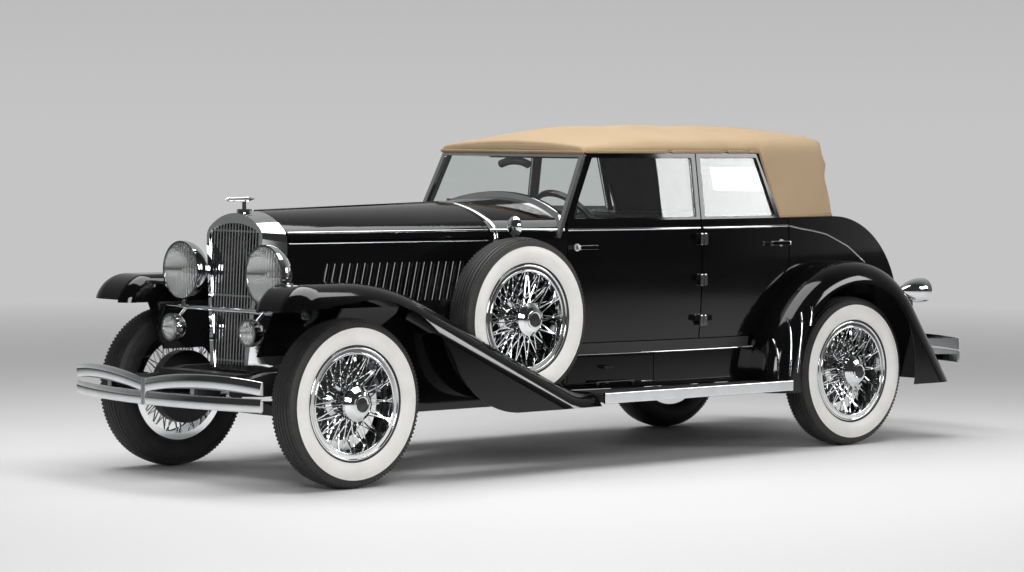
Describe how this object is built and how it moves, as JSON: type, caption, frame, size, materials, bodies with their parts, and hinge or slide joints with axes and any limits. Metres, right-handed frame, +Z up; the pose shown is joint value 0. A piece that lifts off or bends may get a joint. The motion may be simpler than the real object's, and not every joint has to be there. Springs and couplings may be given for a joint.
{
  "type": "classic four-door convertible sedan",
  "caption": "Long-hood convertible sedan with sweeping fenders, side-mounted spare wheels, wire wheels and a raised canvas top; doors, hood leaves, steering and wheels move",
  "frame": {"origin": "on the ground, midway along the overall length and on the centre line", "axes": "+X forward, +Y to the car's left, +Z up"},
  "size_m": [5.46, 1.78, 1.7977],
  "materials": {
    "tyre_rubber": "matt black with a white sidewall band",
    "bright_trim": "polished chrome",
    "body_paint": "gloss black",
    "clear_glass": "clear",
    "canvas": "tan woven canvas",
    "seat_leather": "dark leather",
    "dash_panel": "dark satin",
    "chassis_paint": "satin black",
    "cast_metal": "dark grey",
    "board_rubber": "ribbed black rubber"
  },
  "bodies": {
    "car": {"spare_tyres": "tyre_rubber", "spare_wheels": "bright_trim", "radiator_shell": "bright_trim", "radiator_grille": "bright_trim", "lamps": "bright_trim", "front_bumper": "bright_trim", "rear_bumper": "bright_trim", "board_trims": "bright_trim", "windshield_frame": "bright_trim", "tail_lamps": "bright_trim", "front_fenders": "body_paint", "rear_fenders": "body_paint", "rear_body": "body_paint", "cowl": "body_paint", "hood_sides": "body_paint", "door_posts": "body_paint", "splash_aprons": "body_paint", "fixed_glass": "clear_glass", "lamp_lenses": "clear_glass", "soft_top": "canvas", "seats": "seat_leather", "dashboard": "dash_panel", "chassis_frame": "chassis_paint", "front_axle": "chassis_paint", "rear_axle": "chassis_paint", "leaf_springs": "chassis_paint", "fuel_tank": "chassis_paint", "floor_pan": "chassis_paint", "engine_block": "cast_metal", "radiator_core": "cast_metal", "exhaust": "cast_metal", "running_boards": "board_rubber"},
    "knuckle_l": {"knuckle_left": "chassis_paint"},
    "knuckle_r": {"knuckle_right": "chassis_paint"},
    "tie": {"tie_rod": "chassis_paint"},
    "hand_wheel": {"steering_wheel": "dash_panel"},
    "hood_l": {"hood_leaf_left": "body_paint"},
    "hood_r": {"hood_leaf_right": "body_paint"},
    "box_l": {"tool_box_door_left": "body_paint"},
    "box_r": {"tool_box_door_right": "body_paint"},
    "road_wheel_front_left": {"tyre_front_left": "tyre_rubber", "wheel_front_left": "bright_trim"},
    "entry_front_left": {"door_front_left": "body_paint", "door_glass_front_left": "clear_glass"},
    "road_wheel_front_right": {"tyre_front_right": "tyre_rubber", "wheel_front_right": "bright_trim"},
    "entry_front_right": {"door_front_right": "body_paint", "door_glass_front_right": "clear_glass"},
    "road_wheel_rear_left": {"tyre_rear_left": "tyre_rubber", "wheel_rear_left": "bright_trim"},
    "entry_rear_left": {"door_rear_left": "body_paint", "door_glass_rear_left": "clear_glass"},
    "road_wheel_rear_right": {"tyre_rear_right": "tyre_rubber", "wheel_rear_right": "bright_trim"},
    "entry_rear_right": {"door_rear_right": "body_paint", "door_glass_rear_right": "clear_glass"}
  },
  "joints": [
    {"name": "steer_left", "type": "hinge", "parent": "car", "child": "knuckle_l", "pos_m": [2.03, 0.535, 0.42], "axis": [0, 0, 1], "range_deg": [-28, 28]},
    {"name": "steer_right", "type": "hinge", "parent": "car", "child": "knuckle_r", "pos_m": [2.03, -0.535, 0.42], "axis": [0, 0, 1], "range_deg": [-28, 28]},
    {"name": "tie_rod_pivot", "type": "hinge", "parent": "knuckle_l", "child": "tie", "pos_m": [1.86, 0.535, 0.34], "axis": [0, 0, 1], "range_deg": [-28, 28]},
    {"name": "steering_wheel_turn", "type": "hinge", "parent": "car", "child": "hand_wheel", "pos_m": [0.177, 0.33, 1.243], "axis": [-0.8192, 0, 0.5736], "range_deg": [-448, 448]},
    {"name": "spin_front_left", "type": "hinge", "parent": "knuckle_l", "child": "road_wheel_front_left", "pos_m": [2.03, 0.72, 0.42], "axis": [0, 1, 0], "continuous": true},
    {"name": "spin_front_right", "type": "hinge", "parent": "knuckle_r", "child": "road_wheel_front_right", "pos_m": [2.03, -0.72, 0.42], "axis": [0, 1, 0], "continuous": true},
    {"name": "spin_rear_left", "type": "hinge", "parent": "car", "child": "road_wheel_rear_left", "pos_m": [-1.59, 0.72, 0.42], "axis": [0, 1, 0], "continuous": true},
    {"name": "spin_rear_right", "type": "hinge", "parent": "car", "child": "road_wheel_rear_right", "pos_m": [-1.59, -0.72, 0.42], "axis": [0, 1, 0], "continuous": true},
    {"name": "open_front_left", "type": "hinge", "parent": "car", "child": "entry_front_left", "pos_m": [-0.456, 0.714, 0.962], "axis": [0, 0, 1], "range_deg": [0, 65]},
    {"name": "open_front_right", "type": "hinge", "parent": "car", "child": "entry_front_right", "pos_m": [-0.456, -0.714, 0.962], "axis": [0, 0, -1], "range_deg": [0, 65]},
    {"name": "open_rear_left", "type": "hinge", "parent": "car", "child": "entry_rear_left", "pos_m": [-0.484, 0.714, 0.962], "axis": [0, 0, -1], "range_deg": [0, 65]},
    {"name": "open_rear_right", "type": "hinge", "parent": "car", "child": "entry_rear_right", "pos_m": [-0.484, -0.714, 0.962], "axis": [0, 0, 1], "range_deg": [0, 65]},
    {"name": "lift_hood_left", "type": "hinge", "parent": "car", "child": "hood_l", "pos_m": [1.4325, 0, 1.3655], "axis": [0.9997, 0, -0.0253], "range_deg": [0, 60]},
    {"name": "lift_hood_right", "type": "hinge", "parent": "car", "child": "hood_r", "pos_m": [1.4325, 0, 1.3655], "axis": [-0.9997, 0, 0.0253], "range_deg": [0, 60]},
    {"name": "drop_box_left", "type": "hinge", "parent": "car", "child": "box_l", "pos_m": [0.127, 0.64623, 0.433], "axis": [-1, 0, 0], "range_deg": [0, 75]},
    {"name": "drop_box_right", "type": "hinge", "parent": "car", "child": "box_r", "pos_m": [0.127, -0.64623, 0.433], "axis": [1, 0, 0], "range_deg": [0, 75]}
  ],
  "couplings": [
    {"joint": "steer_right", "follows": "steer_left", "ratio": 1},
    {"joint": "tie_rod_pivot", "follows": "steer_left", "ratio": -1},
    {"joint": "steering_wheel_turn", "follows": "steer_left", "ratio": 16}
  ]
}
